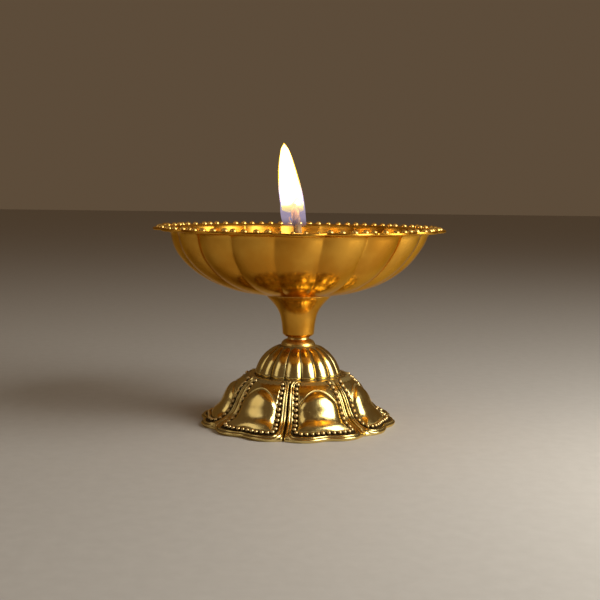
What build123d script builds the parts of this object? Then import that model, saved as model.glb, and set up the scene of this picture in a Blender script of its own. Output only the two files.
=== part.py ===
"""A small footed brass oil lamp: a fluted bowl on a stem that screws into a petalled foot.

Millimetres, +Z up, front towards -Y. The origin is the middle of the foot's underside.
Angles round the lamp are in degrees from the front, growing towards +X.
"""
from build123d import *
import math
import os

# Foot
PETALS = 7
PETAL_TURN = -8.0
FOOT_RADIUS = 27.0
FOOT_HEIGHT = 13.4
FOOT_EDGE = 1.1
FOOT_WALL = 1.1
FOOT_RIM = 1.3
PETAL_DEPTH = 1.5
SHOULDER_WIDTH = 1.8
REBATE_DEPTH = 1.0
SEAT_WIDTH = 1.2

# Places across a petal, from its groove, then its outline at each height.
# Each row: height, reach, then how far back the groove, the border, the valley inside the border,
# the lobe and the middle of the petal stand.
BORDER_SHARE = 0.065
VALLEY_SHARE = 0.135
LOBE_SHARE = 0.30
PETAL_SHARES = (
    (0.000, 0.985, 1.00, 0.40, 0.22, 0.00, 0.85),
    (0.066, 0.820, 1.00, 0.35, 0.40, 0.00, 0.75),
    (0.190, 0.615, 1.00, 0.30, 0.60, 0.05, 0.40),
    (0.330, 0.505, 1.00, 0.25, 0.70, 0.12, 0.10),
    (0.463, 0.440, 1.00, 0.25, 0.75, 0.15, 0.00),
    (0.678, 0.338, 1.00, 0.25, 0.75, 0.15, 0.00),
    (0.843, 0.213, 0.90, 0.25, 0.65, 0.12, 0.00),
    (0.942, 0.092, 0.70, 0.25, 0.50, 0.10, 0.05),
    (1.000, 0.000, 0.45, 0.20, 0.35, 0.10, 0.10),
)

# Dome
FLUTES = 16
DOME_TURN = -6.75
DOME_RADIUS = 12.0
DOME_HEIGHT = 9.0
DOME_TOP_RADIUS = 5.6
DOME_WALL = 1.1
DOME_CROWN = 1.4
FLUTE_DEPTH = 0.75

# Each row: height above the rebate, reach, depth of the flutes.
DOME_SHARES = (
    (0.00, 1.000, 1.00),
    (0.18, 0.953, 1.00),
    (0.43, 0.813, 0.95),
    (0.64, 0.640, 0.85),
    (0.80, 0.422, 0.70),
    (0.91, 0.219, 0.45),
    (1.00, 0.000, 0.10),
)

# Screw joint between the base and the cup
STUD_RADIUS = 2.0
STUD_ENGAGEMENT = 5.0
STUD_ROOT = 4.8
STUD_POINT = 0.5
BUSH_RADIUS = 3.8
BUSH_LENGTH = 7.0
BUSH_SPIGOT_RADIUS = 3.0
BUSH_CHAMFER = 0.4

# Collar and neck
COLLAR_FOOT_RADIUS = 4.8
COLLAR_BELLY_RADIUS = 4.6
COLLAR_BELLY_HEIGHT = 0.7
COLLAR_HEIGHT = 1.7
NECK_RADIUS = 3.0
NECK_HEIGHT = 0.9

# Stem
STEM_HEIGHT = 11.6
STEM_FOOT_RADIUS = 4.3
STEM_TOP_RADIUS = 9.2
STEM_CHAMFER = 0.6

# Each row: height, reach.
STEM_SHARES = (
    (0.00, 0.00),
    (0.34, 0.08),
    (0.50, 0.16),
    (0.65, 0.32),
    (0.81, 0.61),
    (0.93, 0.88),
    (1.00, 1.00),
)

# Bowl
LOBES = 18
BOWL_RADIUS = 35.3
BOWL_DEPTH = 17.5
BOWL_WALL = 0.9
LOBE_DEPTH = 1.2

# Each row: depth below the lip, reach from the stem's top to the wall's radius.
BOWL_SHARES = (
    (0.00, 1.000),
    (0.15, 0.978),
    (0.35, 0.907),
    (0.55, 0.791),
    (0.75, 0.606),
    (0.88, 0.406),
    (0.96, 0.200),
    (1.00, 0.000),
)

# Lip and its beads
LIP_WIDTH = 4.7
LIP_LOBE_DEPTH = 1.5
LIP_THICKNESS = 0.8
BEADS = 79
BEAD_RADIUS = 0.85
BEAD_INSET = 1.75
BEAD_RISE = 0.1

# Braze
BRAZE_WIDTH = 0.7
BRAZE_HEIGHT = 0.7

# Oil
OIL_DEPTH = 8.6

# Wick and its foot
WICK_RADIUS = 1.2
WICK_TIP_RADIUS = 0.55
WICK_HEIGHT = 23.8
WICK_TAPER = 2.6
WICK_LEAN = 1.6
WICK_FOOT_RADIUS = 5.0
WICK_FOOT_HEIGHT = 13.0

# Each row: height, reach.
WICK_FOOT_SHARES = (
    (0.00, 0.80),
    (0.10, 0.96),
    (0.35, 1.00),
    (0.72, 0.94),
    (0.84, 0.66),
    (0.93, 0.30),
    (1.00, 0.05),
)

# Flame
FLAME_RADIUS = 3.5
FLAME_HEIGHT = 23.1
FLAME_START = 6.8
FLAME_LEAN = 3.9
FLAME_TIP_RADIUS = 0.12

# Each row: height, width, lean.
FLAME_SHARES = (
    (0.00, 0.55, 0.00),
    (0.07, 0.88, 0.22),
    (0.16, 1.00, 0.31),
    (0.28, 0.97, 0.37),
    (0.45, 0.92, 0.53),
    (0.69, 0.71, 0.76),
    (0.86, 0.45, 0.89),
    (0.95, 0.24, 0.96),
)

# Fits and clearances
FIXED_FIT = 0.02
SCREW_CLEARANCE = 0.05
COLLAR_CLEARANCE = 0.10
SOFT_CLEARANCE = 0.30
FLAME_CLEARANCE = 0.15
OVERRUN = 1.0

# Heights worked out from the sizes above, from the ground up
seat_z = FOOT_HEIGHT - REBATE_DEPTH
dome_top_z = seat_z + DOME_HEIGHT
neck_z = dome_top_z + COLLAR_HEIGHT
stem_foot_z = neck_z + NECK_HEIGHT
stem_top_z = stem_foot_z + STEM_HEIGHT
lip_z = stem_top_z + BOWL_DEPTH
lip_top_z = lip_z + LIP_THICKNESS
bowl_floor_z = stem_top_z + BOWL_WALL
oil_top_z = bowl_floor_z + OIL_DEPTH
wick_floor_z = bowl_floor_z + SOFT_CLEARANCE
stud_point_z = dome_top_z - STUD_ENGAGEMENT

lip_radius = BOWL_RADIUS + LIP_WIDTH
shoulder_radius = DOME_RADIUS + FIXED_FIT + SHOULDER_WIDTH
seat_radius = DOME_RADIUS - SEAT_WIDTH


def polar(radius, angle, z=0.0):
    """Return the point at this radius and height, at an angle from the front."""
    turn = math.radians(angle)
    return Vector(radius * math.sin(turn), -radius * math.cos(turn), z)


def lobed_wire(tip_radius, cusp_radius, count, z, turn=0.0):
    """Return a closed outline of equal outward arcs, with one arc's middle at this turn from the front."""
    step = 360 / count
    arcs = []
    for index in range(count):
        middle = turn + index * step
        arcs.append(
            ThreePointArc(
                polar(cusp_radius, middle - step / 2, z),
                polar(tip_radius, middle, z),
                polar(cusp_radius, middle + step / 2, z),
            )
        )
    return Wire(arcs)


def petal_wire(depths, radius, z):
    """Return the foot's outline at one height: two borders and a panel of two arcs to a petal.

    The depths are how far back the groove, border, valley, lobe and middle stand from the radius.
    """
    places = (0, BORDER_SHARE, VALLEY_SHARE, LOBE_SHARE, 1 / 2)
    half = list(zip(places, depths))
    across = half + [(1 - place, depth) for place, depth in reversed(half[:-1])]
    step = 360 / PETALS
    arcs = []
    for index in range(PETALS):
        start = PETAL_TURN + index * step
        marks = [polar(radius - depth, start + step * place, z) for place, depth in across]
        arcs += [ThreePointArc(*marks[first:first + 3]) for first in range(0, len(marks) - 1, 2)]
    return Wire(arcs)


def revolved(points, curved=False):
    """Return the solid of revolution of a closed outline of (radius, z) points.

    With curved set, the run from the second point to the last but one is a smooth curve.
    """
    corners = [Vector(radius, 0, z) for radius, z in points]
    if curved:
        edges = [
            Line(corners[0], corners[1]),
            Spline(*corners[1:-1]),
            Line(corners[-2], corners[-1]),
            Line(corners[-1], corners[0]),
        ]
    else:
        edges = Polyline(*corners, close=True).edges()
    return revolve(make_face(edges), Axis.Z)


def rod(radius, low_z, high_z):
    """Return a plain round bar between two heights."""
    return Pos(0, 0, (low_z + high_z) / 2) * Cylinder(radius, high_z - low_z)


def inset(points, distance):
    """Return the outline moved sideways by a distance, towards the axis and down."""
    moved = []
    for index, (radius, z) in enumerate(points):
        before = points[max(index - 1, 0)]
        after = points[min(index + 1, len(points) - 1)]
        run, climb = after[0] - before[0], after[1] - before[1]
        length = math.hypot(run, climb)
        moved.append((radius - distance * climb / length, z + distance * run / length))
    return moved


def petal_reach(share):
    """Return the petals' radius for a share of the way from the shoulder to the edge."""
    return shoulder_radius + share * (FOOT_RADIUS - shoulder_radius)


def petal_height(share):
    """Return the height for a share of the way from the edge's top to the shoulder."""
    return FOOT_EDGE + share * (FOOT_HEIGHT - FOOT_EDGE)


def petal_skirt():
    """Return the hollow foot, with the rebate in its top that the dome stands in."""
    sections = []
    inner = []
    for height, reach, *shares in PETAL_SHARES:
        radius, z = petal_reach(reach), petal_height(height)
        depths = [PETAL_DEPTH * share for share in shares]
        sections.append(petal_wire(depths, radius, z))
        inner.append((radius - max(depths), z))
        if height == 0:
            edge = extrude(Face(petal_wire(depths, radius, 0)), FOOT_EDGE)
    body = edge + Solid.make_loft(sections)

    roof_z = seat_z - FOOT_WALL
    mouth_radius = inner[0][0] - FOOT_RIM
    cavity = [point for point in inset(inner, FOOT_WALL) if DOME_RADIUS < point[0] < mouth_radius]
    cavity = [point for point in cavity if 0 < point[1] < roof_z]
    mouth = [(0, -OVERRUN), (mouth_radius, -OVERRUN), (mouth_radius, 0)]
    body -= revolved([*mouth, *cavity, (DOME_RADIUS, roof_z), (0, roof_z)])
    body -= rod(seat_radius, 0, FOOT_HEIGHT + OVERRUN)
    body -= rod(DOME_RADIUS + FIXED_FIT, seat_z, FOOT_HEIGHT + OVERRUN)
    return body


def dome_outline():
    """Return the dome's outer outline as (radius, z, flute depth) from the rebate up."""
    rows = []
    for height, reach, flute in DOME_SHARES:
        radius = DOME_TOP_RADIUS + reach * (DOME_RADIUS - DOME_TOP_RADIUS)
        z = FOOT_HEIGHT + height * (dome_top_z - FOOT_HEIGHT)
        rows.append((radius, z, FLUTE_DEPTH * flute))
    return rows


def fluted_dome():
    """Return the dome: a round foot in the rebate, fluted above it, hollow, with a holed crown."""
    rows = dome_outline()
    sections = [lobed_wire(radius, radius - depth, FLUTES, z, DOME_TURN) for radius, z, depth in rows]
    body = rod(DOME_RADIUS, seat_z, FOOT_HEIGHT) + Solid.make_loft(sections)

    roof_z = dome_top_z - DOME_CROWN
    low_z = seat_z - OVERRUN
    inner = inset([(radius - depth, z) for radius, z, depth in rows], DOME_WALL)
    inner = [point for point in inner if point[1] < roof_z and point[1] > seat_z]
    mouth_radius = inner[0][0]
    roof_radius = inner[-1][0]
    body -= revolved([(0, low_z), (mouth_radius, low_z), *inner, (roof_radius, roof_z), (0, roof_z)])
    body -= rod(BUSH_SPIGOT_RADIUS + FIXED_FIT, roof_z - OVERRUN, dome_top_z + OVERRUN)
    return body


def dome_braze_ring():
    """Return the fillet of braze under the dome's edge, inside the foot."""
    outer = seat_radius
    return revolved([(outer, seat_z), (outer - BRAZE_WIDTH, seat_z), (outer, seat_z - BRAZE_HEIGHT)])


def base_bush():
    """Return the tapped bush under the dome's crown, with its spigot through the crown."""
    shoulder_z = dome_top_z - DOME_CROWN
    bush = rod(BUSH_RADIUS, dome_top_z - BUSH_LENGTH, shoulder_z)
    bush += rod(BUSH_SPIGOT_RADIUS, shoulder_z - BUSH_CHAMFER, dome_top_z)
    bush -= rod(STUD_RADIUS + SCREW_CLEARANCE, dome_top_z - BUSH_LENGTH - OVERRUN, dome_top_z + OVERRUN)
    return bush


def neck_collar():
    """Return the loose collar: a rounded ring with the narrower neck on top of it."""
    bore = STUD_RADIUS + COLLAR_CLEARANCE
    foot = Vector(COLLAR_FOOT_RADIUS, 0, dome_top_z)
    belly = Vector(COLLAR_BELLY_RADIUS, 0, dome_top_z + COLLAR_BELLY_HEIGHT)
    neck = Vector(NECK_RADIUS, 0, neck_z)
    edges = [
        Line((bore, 0, dome_top_z), foot),
        ThreePointArc(foot, belly, neck),
        Polyline(neck, (NECK_RADIUS, 0, stem_foot_z), (bore, 0, stem_foot_z), (bore, 0, dome_top_z)),
    ]
    return revolve(make_face(edges), Axis.Z)


def threaded_stud():
    """Return the stud, fixed in the stem's foot, with a chamfered point."""
    body = rod(STUD_RADIUS, stud_point_z, stem_foot_z + STUD_ROOT)
    return chamfer(body.edges().group_by(Axis.Z)[0], STUD_POINT)


def stem():
    """Return the trumpet-shaped stem, chamfered at its foot, with the blind hole for the stud."""
    points = [(0, stem_foot_z)]
    for height, reach in STEM_SHARES:
        radius = STEM_FOOT_RADIUS + reach * (STEM_TOP_RADIUS - STEM_FOOT_RADIUS)
        points.append((radius, stem_foot_z + height * STEM_HEIGHT))
    points.append((0, stem_top_z))
    body = revolved(points, curved=True)
    body = chamfer(body.edges().group_by(Axis.Z)[0], STEM_CHAMFER)
    return body - rod(STUD_RADIUS + FIXED_FIT, stem_foot_z - OVERRUN, stem_foot_z + STUD_ROOT + FIXED_FIT)


def stem_braze_ring():
    """Return the fillet of braze round the stem's top, under the bowl."""
    inner, outer = STEM_TOP_RADIUS - BRAZE_WIDTH, STEM_TOP_RADIUS + BRAZE_WIDTH
    low_z = stem_top_z - BRAZE_HEIGHT
    return revolved([(inner, low_z), (outer, stem_top_z), (inner, stem_top_z)]) - stem()


def bowl_wires(wall):
    """Return the bowl's lobed sections from the lip down to the stem's top, moved inwards by a wall."""
    wires = []
    for drop, reach in BOWL_SHARES:
        radius = STEM_TOP_RADIUS - wall + reach * (BOWL_RADIUS - STEM_TOP_RADIUS)
        z = lip_z - drop * (BOWL_DEPTH - wall)
        lobe_depth = LOBE_DEPTH * radius / BOWL_RADIUS
        wires.append(lobed_wire(radius, radius - lobe_depth, LOBES, z))
    return wires


def bowl():
    """Return the fluted bowl with its scalloped lip and the beads on the lip."""
    outer = Solid.make_loft(bowl_wires(0))
    inner = Solid.make_loft(bowl_wires(BOWL_WALL))
    lip_outline = lobed_wire(lip_radius, lip_radius - LIP_LOBE_DEPTH, LOBES, lip_z)
    lip = extrude(Face(lip_outline), LIP_THICKNESS)
    mouth = extrude(Face(bowl_wires(BOWL_WALL)[0]), LIP_THICKNESS + OVERRUN)
    body = outer + lip - inner - mouth

    bead_radius = lip_radius - BEAD_INSET
    bead_z = lip_top_z + BEAD_RISE
    row = lobed_wire(bead_radius, bead_radius - LIP_LOBE_DEPTH, LOBES, bead_z)
    beads = [Pos(*row.position_at(index / BEADS)) * Sphere(BEAD_RADIUS) for index in range(BEADS)]
    return body + beads


def oil():
    """Return the oil in the bowl, with room round the foot of the wick."""
    fill = Solid.make_loft(bowl_wires(BOWL_WALL + FIXED_FIT))
    fill &= rod(BOWL_RADIUS, stem_top_z, oil_top_z)
    return fill - rod(WICK_FOOT_RADIUS + SOFT_CLEARANCE, stem_top_z, oil_top_z + OVERRUN)


def wick_base():
    """Return the cotton foot that the wick stands on."""
    points = [(0, wick_floor_z)]
    for height, reach in WICK_FOOT_SHARES:
        radius = WICK_RADIUS + FIXED_FIT + reach * (WICK_FOOT_RADIUS - WICK_RADIUS - FIXED_FIT)
        points.append((radius, wick_floor_z + height * WICK_FOOT_HEIGHT))
    points.append((0, wick_floor_z + WICK_FOOT_HEIGHT))
    body = revolved(points, curved=True)
    return body - rod(WICK_RADIUS + FIXED_FIT, wick_floor_z - OVERRUN, oil_top_z + WICK_FOOT_HEIGHT)


def wick_lean(z):
    """Return how far left the wick's middle stands at a height; it leans above its foot."""
    base_z = wick_floor_z + WICK_FOOT_HEIGHT
    return WICK_LEAN * max(0.0, z - base_z) / (wick_floor_z + WICK_HEIGHT - base_z)


def wick_section(radius, z):
    """Return a round section of the wick."""
    return Wire.make_circle(radius, Plane(origin=(-wick_lean(z), 0, z)))


def wick():
    """Return the twisted cotton wick: upright in its foot, leaning above it, with a narrow tip."""
    top_z = wick_floor_z + WICK_HEIGHT
    base_z = wick_floor_z + WICK_FOOT_HEIGHT
    body = rod(WICK_RADIUS, wick_floor_z, base_z)
    body += Solid.make_loft(
        [wick_section(WICK_RADIUS, base_z), wick_section(WICK_RADIUS, top_z - WICK_TAPER)], True
    )
    body += Solid.make_loft(
        [wick_section(WICK_RADIUS, top_z - WICK_TAPER), wick_section(WICK_TIP_RADIUS, top_z)], True
    )
    return body


def flame():
    """Return the flame's closed shape round the wick's top, leaning to the left."""
    wick_top_z = wick_floor_z + WICK_HEIGHT
    start_z = wick_top_z - FLAME_START
    start_lean = wick_lean(start_z)
    sections = []
    for height, width, lean in FLAME_SHARES:
        centre = (-start_lean - FLAME_LEAN * lean, 0, start_z + height * FLAME_HEIGHT)
        sections.append(Wire.make_circle(FLAME_RADIUS * width, Plane(origin=centre)))
    tip = (-start_lean - FLAME_LEAN, 0, start_z + FLAME_HEIGHT)
    sections.append(Wire.make_circle(FLAME_TIP_RADIUS, Plane(origin=tip)))
    body = Solid.make_loft(sections)
    clearance_radius = WICK_RADIUS + FLAME_CLEARANCE
    room = Solid.make_loft(
        [
            wick_section(clearance_radius, start_z - OVERRUN),
            wick_section(clearance_radius, wick_top_z - WICK_TAPER),
        ],
        True,
    )
    room += Solid.make_loft(
        [
            wick_section(clearance_radius, wick_top_z - WICK_TAPER),
            wick_section(WICK_TIP_RADIUS + FLAME_CLEARANCE, wick_top_z + FLAME_CLEARANCE),
        ],
        True,
    )
    return body - room


SUBPARTS = {
    "petal_skirt": petal_skirt,
    "fluted_dome": fluted_dome,
    "dome_braze_ring": dome_braze_ring,
    "base_bush": base_bush,
    "neck_collar": neck_collar,
    "threaded_stud": threaded_stud,
    "stem": stem,
    "stem_braze_ring": stem_braze_ring,
    "bowl": bowl,
    "oil": oil,
    "wick_base": wick_base,
    "wick": wick,
    "flame": flame,
}

os.makedirs("parts", exist_ok=True)
for name, make in SUBPARTS.items():
    export_step(make(), "parts/" + name + ".step")
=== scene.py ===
"""The looks of a small footed brass oil lamp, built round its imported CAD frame. Metres, +Z up."""
import math

import bpy
import numpy as np
from mathutils import Euler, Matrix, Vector


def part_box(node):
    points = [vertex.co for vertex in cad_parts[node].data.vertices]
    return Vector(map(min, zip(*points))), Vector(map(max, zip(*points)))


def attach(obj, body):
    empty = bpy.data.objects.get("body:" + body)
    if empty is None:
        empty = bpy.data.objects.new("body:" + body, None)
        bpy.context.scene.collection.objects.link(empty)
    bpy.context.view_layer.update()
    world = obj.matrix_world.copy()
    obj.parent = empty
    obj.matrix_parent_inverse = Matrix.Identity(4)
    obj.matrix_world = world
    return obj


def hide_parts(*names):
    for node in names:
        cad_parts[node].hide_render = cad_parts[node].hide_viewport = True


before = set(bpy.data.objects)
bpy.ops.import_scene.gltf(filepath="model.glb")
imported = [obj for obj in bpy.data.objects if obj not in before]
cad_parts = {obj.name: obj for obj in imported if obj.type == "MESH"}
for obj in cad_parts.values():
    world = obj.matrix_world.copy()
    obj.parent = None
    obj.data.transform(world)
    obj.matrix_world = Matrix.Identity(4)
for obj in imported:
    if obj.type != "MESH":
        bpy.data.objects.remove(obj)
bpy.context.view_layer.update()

MM = 0.001
FULL_TURN = 2 * math.pi

# Camera, worked out from the photograph
CAMERA_DISTANCE = 285 * MM
CAMERA_HEIGHT = 63.55 * MM
CAMERA_PITCH = 5.93
CAMERA_ROLL = 0.67
CAMERA_SIDE = 0.36 * MM
CAMERA_LENS = 62.08
SENSOR = 36.0

# Heights in the frame, and from the lip's underside to the tops of its beads
FOOT_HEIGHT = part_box("petal_skirt")[1].z
DOME_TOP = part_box("fluted_dome")[1].z
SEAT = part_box("fluted_dome")[0].z
RIM_HEIGHT = 1.75 * MM
LIP_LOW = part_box("bowl")[1].z - RIM_HEIGHT
OIL_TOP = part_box("oil")[1].z

# Tones of brass: its pits, its patina with painted shade, and the tint of what it mirrors at a low angle
PIT_TONE = (0.06, 0.03, 0.012)
# Dark tone for patina in hollows, also used as painted shade where the foot meets the dome
PATINA_SHADE_TONE = (0.030, 0.014, 0.005)
EDGE_TINT = (1.0, 0.80, 0.45, 1.0)


def slot_material(name):
    """Return a new node material, with its node tree and shader."""
    material = bpy.data.materials.new(name)
    material.use_nodes = True
    tree = material.node_tree
    return material, tree, tree.nodes["Principled BSDF"]


def connect(tree, socket, source):
    """Feed a socket from another socket, or set it to a plain value."""
    if isinstance(source, bpy.types.NodeSocket):
        tree.links.new(source, socket)
    else:
        socket.default_value = source


def feed(tree, made, **sources):
    """Feed a node's inputs by name."""
    for key, source in sources.items():
        connect(tree, made.inputs[key.replace("_", " ")], source)


def node(tree, kind, **sources):
    """Add a node, with its inputs fed by name."""
    made = tree.nodes.new(kind)
    feed(tree, made, **sources)
    return made


def object_place(tree):
    """Return the places of points in the object's own space."""
    return tree.nodes.new("ShaderNodeTexCoord").outputs["Object"]


def point_value(tree, name):
    """Return the value of that name that the mesh carries on its points."""
    made = tree.nodes.new("ShaderNodeAttribute")
    made.attribute_name = name
    return made.outputs["Fac"]


def noise(tree, scale, detail, roughness=0.55, stretch=None):
    """Add object-space noise and return its factor output."""
    place = object_place(tree)
    if stretch:
        place = node(tree, "ShaderNodeMapping", Vector=place, Scale=stretch).outputs["Vector"]
    made = node(tree, "ShaderNodeTexNoise", Vector=place, Scale=scale, Detail=detail, Roughness=roughness)
    return made.outputs["Fac"]


def ramp(tree, factor, low, high, low_value=0.0, high_value=1.0):
    """Map a factor smoothly from one span to another, clamped."""
    made = node(tree, "ShaderNodeMapRange", Value=factor, From_Min=low, From_Max=high)
    made.interpolation_type = "SMOOTHSTEP"
    feed(tree, made, To_Min=low_value, To_Max=high_value)
    return made.outputs["Result"]


def mix(tree, factor, first, second):
    """Mix two colours; each may be a socket or a tuple."""
    made = tree.nodes.new("ShaderNodeMix")
    made.data_type = "RGBA"
    for key, value in (("A", first), ("B", second)):
        socket = [s for s in made.inputs if s.name == key and s.type == "RGBA"][0]
        connect(tree, socket, (*value, 1.0) if isinstance(value, tuple) else value)
    tree.links.new(factor, made.inputs["Factor"])
    return [s for s in made.outputs if s.type == "RGBA"][0]


def math_node(tree, operation, first, second):
    """Combine two factors; each may be a socket or a number."""
    made = tree.nodes.new("ShaderNodeMath")
    made.operation = operation
    connect(tree, made.inputs[0], first)
    connect(tree, made.inputs[1], second)
    return made.outputs[0]


def add(tree, first, second):
    """Add two factors."""
    return math_node(tree, "ADD", first, second)


def multiply(tree, first, second):
    """Multiply two factors."""
    return math_node(tree, "MULTIPLY", first, second)


def add_bump(tree, shader, height, strength, distance):
    """Bump the shader's surface by a height."""
    relief = node(tree, "ShaderNodeBump", Height=height, Strength=strength, Distance=distance)
    feed(tree, shader, Normal=relief.outputs["Normal"])


def pits(tree):
    """Return small pits that come in patches: 1 in a pit, 0 elsewhere."""
    cells = node(tree, "ShaderNodeTexVoronoi", Vector=object_place(tree), Scale=260.0, Randomness=1.0)
    pit = ramp(tree, cells.outputs["Distance"], 0.035, 0.07, 1.0, 0.0)
    patch = ramp(tree, noise(tree, 60, 2), 0.55, 0.62)
    return multiply(tree, pit, patch)


def brass(name, bright, deep, shine, dull, patina_shade_strength=0.0, bump=0.12, film=0.0):
    """Return brass: scratched and pitted, with dark patina in hollows and painted shade where the foot
    meets the dome, by a value on the points, and an oily film by 'inside'.
    """
    material, tree, shader = slot_material(name)
    fine = noise(tree, 2600, 2, 0.6)
    scratch = noise(tree, 900, 3, 0.7, (1.0, 1.0, 0.16))
    pit = pits(tree)
    drift = ramp(tree, noise(tree, 90, 3), 0.35, 0.68)
    colour = mix(tree, drift, bright, deep)
    colour = mix(tree, multiply(tree, pit, 0.85), colour, PIT_TONE)
    rough = ramp(tree, scratch, 0.35, 0.75, shine, dull)
    metallic = 1.0
    # Darkens by a value on the points: patina in grooves and channels, and painted shade where the foot
    # meets the dome
    if patina_shade_strength:
        worn = add(tree, point_value(tree, "recess"), multiply(tree, fine, 0.35))
        patina_shade_mix = multiply(tree, ramp(tree, worn, 0.42, 0.95), patina_shade_strength)
        colour = mix(tree, patina_shade_mix, colour, PATINA_SHADE_TONE)
        rough = add(tree, rough, multiply(tree, patina_shade_mix, 0.38))
        metallic = ramp(tree, patina_shade_mix, 0.0, 1.0, 1.0, 0.45)
    if film:
        rough = add(tree, rough, multiply(tree, point_value(tree, "inside"), film))
    height = add(tree, multiply(tree, fine, 0.3), scratch)
    height = math_node(tree, "SUBTRACT", height, multiply(tree, pit, 2.0))
    add_bump(tree, shader, height, bump, 0.06 * MM)
    feed(tree, shader, Base_Color=colour, Roughness=rough, Metallic=metallic, Specular_Tint=EDGE_TINT)
    return material


def cotton():
    """Return the cotton: pale below, scorched from the lip up, and glowing near the top by 'char', partly
    as painted light from the flame.
    """
    material, tree, shader = slot_material("cotton")
    fibre = noise(tree, 1500, 4, 0.7, (1.0, 1.0, 0.22))
    burnt = add(tree, point_value(tree, "char"), multiply(tree, fibre, 0.35))
    scorch = multiply(tree, ramp(tree, burnt, 0.22, 0.50), ramp(tree, fibre, 0.30, 0.62, 1.0, 0.72))
    # Glow near the top: the burnt tip's own glow, and partly painted light from the flame falling on the
    # wick.
    ember_and_flame_glow = multiply(tree, ramp(tree, burnt, 0.45, 0.85), ramp(tree, fibre, 0.38, 0.60, 0.35, 1.0))
    colour = mix(tree, fibre, (0.34, 0.17, 0.05), (0.72, 0.50, 0.24))
    colour = mix(tree, scorch, colour, (0.040, 0.016, 0.010))
    glow = mix(tree, fibre, (0.85, 0.26, 0.05), (1.0, 0.55, 0.14))
    rough = ramp(tree, fibre, 0.2, 0.8, 0.75, 0.95)
    add_bump(tree, shader, fibre, 0.6, 0.2 * MM)
    feed(tree, shader, Base_Color=colour, Roughness=rough, Emission_Color=glow, Emission_Strength=ember_and_flame_glow)
    feed(tree, shader, Subsurface_Weight=0.15, Subsurface_Radius=(1 * MM, 0.8 * MM, 0.5 * MM))
    return material


def lamp_oil():
    """Return the oil: clear golden, with a faint drift in its tint."""
    material, tree, shader = slot_material("lamp_oil")
    drift = noise(tree, 70, 3)
    colour = mix(tree, drift, (0.95, 0.72, 0.22), (0.88, 0.58, 0.12))
    rough = ramp(tree, drift, 0.3, 0.7, 0.02, 0.05)
    feed(tree, shader, Base_Color=colour, Roughness=rough, Transmission_Weight=0.85, IOR=1.46)
    return material


def flame_material(name, core):
    """Return a flame material, by 'height': blue and clear at its foot, glowing yellow-white above."""
    material, tree, shader = slot_material(name)
    lift = add(tree, point_value(tree, "height"), multiply(tree, noise(tree, 240, 2), 0.02))
    if core:
        colour = mix(tree, ramp(tree, lift, 0.26, 0.31), (1.0, 0.74, 0.05), (1.0, 0.60, 0.18))
        strength = ramp(tree, lift, 0.25, 0.32, 1.0, 20.0)
        alpha = ramp(tree, lift, 0.17, 0.275, 0.0, 0.97)
    else:
        colour = mix(tree, ramp(tree, lift, 0.36, 0.60), (0.78, 0.66, 1.0), (1.0, 0.62, 0.06))
        strength = ramp(tree, lift, 0.15, 0.50, 1.5, 2.4)
        alpha = ramp(tree, lift, 0.18, 0.50, 0.13, 0.40)
        alpha = multiply(tree, alpha, ramp(tree, lift, 0.01, 0.15, 0.06, 1.0))
    soot = mix(tree, lift, (0.02, 0.02, 0.05), (0.05, 0.03, 0.0))
    feed(tree, shader, Emission_Color=colour, Emission_Strength=strength, Alpha=alpha)
    feed(tree, shader, Base_Color=soot, Roughness=1.0, Specular_IOR_Level=0.0)
    return material


def make_object(name, points, faces, body, slot, material, **values):
    """Make a smooth mesh piece that rides on a body, with named values on its points."""
    mesh = bpy.data.meshes.new(name)
    mesh.from_pydata([tuple(p) for p in points], [], faces)
    mesh.update()
    mesh.polygons.foreach_set("use_smooth", np.ones(len(mesh.polygons), dtype=bool))
    for attribute, numbers in values.items():
        layer = mesh.attributes.new(attribute, "FLOAT", "POINT")
        layer.data.foreach_set("value", np.asarray(numbers, dtype=np.float32).ravel())
    mesh.materials.append(material)
    made = bpy.data.objects.new(name, mesh)
    bpy.context.scene.collection.objects.link(made)
    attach(made, body)
    return made


def ring_faces(rows, columns, closed):
    """Return the faces of rows of points going round, closed from last row to first or capped."""
    grid = np.arange(rows * columns).reshape(rows, columns)
    if closed:
        grid = np.vstack([grid, grid[:1]])
    low, high = grid[:-1], grid[1:]
    quads = np.stack([low, np.roll(low, -1, 1), np.roll(high, -1, 1), high], -1).reshape(-1, 4)
    faces = quads.tolist()
    if not closed:
        faces.append(grid[0, ::-1].tolist())
        faces.append(grid[-1].tolist())
    return faces


def shell(name, rings, body, slot, material, closed=False, **values):
    """Make a piece from rings of points, an array of (rows, columns, 3)."""
    rows, columns = rings.shape[:2]
    faces = ring_faces(rows, columns, closed)
    return make_object(name, rings.reshape(-1, 3), faces, body, slot, material, **values)


def circle(count):
    """Return angles spaced evenly round a full turn."""
    return np.arange(count) / count * FULL_TURN


def around(radius, angle, z):
    """Return points from radius, angle from the front, and height, each a number or an array."""
    radius, angle, z = np.broadcast_arrays(radius, angle, z)
    return np.stack([radius * np.sin(angle), -radius * np.cos(angle), z], -1)


def half_turn(angle):
    """Return angles brought between minus and plus half a turn."""
    return (angle + math.pi) % FULL_TURN - math.pi


def smooth(low, high, value):
    """Return a smooth step from 0 at low to 1 at high."""
    share = np.clip((value - low) / (high - low), 0, 1)
    return share * share * (3 - 2 * share)


def band(rise, fall, value):
    """Return 1 between a rising and a falling smooth step, each a (start, end) pair, and else 0."""
    return smooth(*rise, value) * (1 - smooth(*fall, value))


def bell(distance, width):
    """Return a bell curve of a width, 1 at no distance."""
    return np.exp(-((distance / width) ** 2))


def deepest(*recesses):
    """Return the deepest of several values of patina and painted shade at each point."""
    return np.maximum.reduce(np.broadcast_arrays(*recesses))


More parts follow.
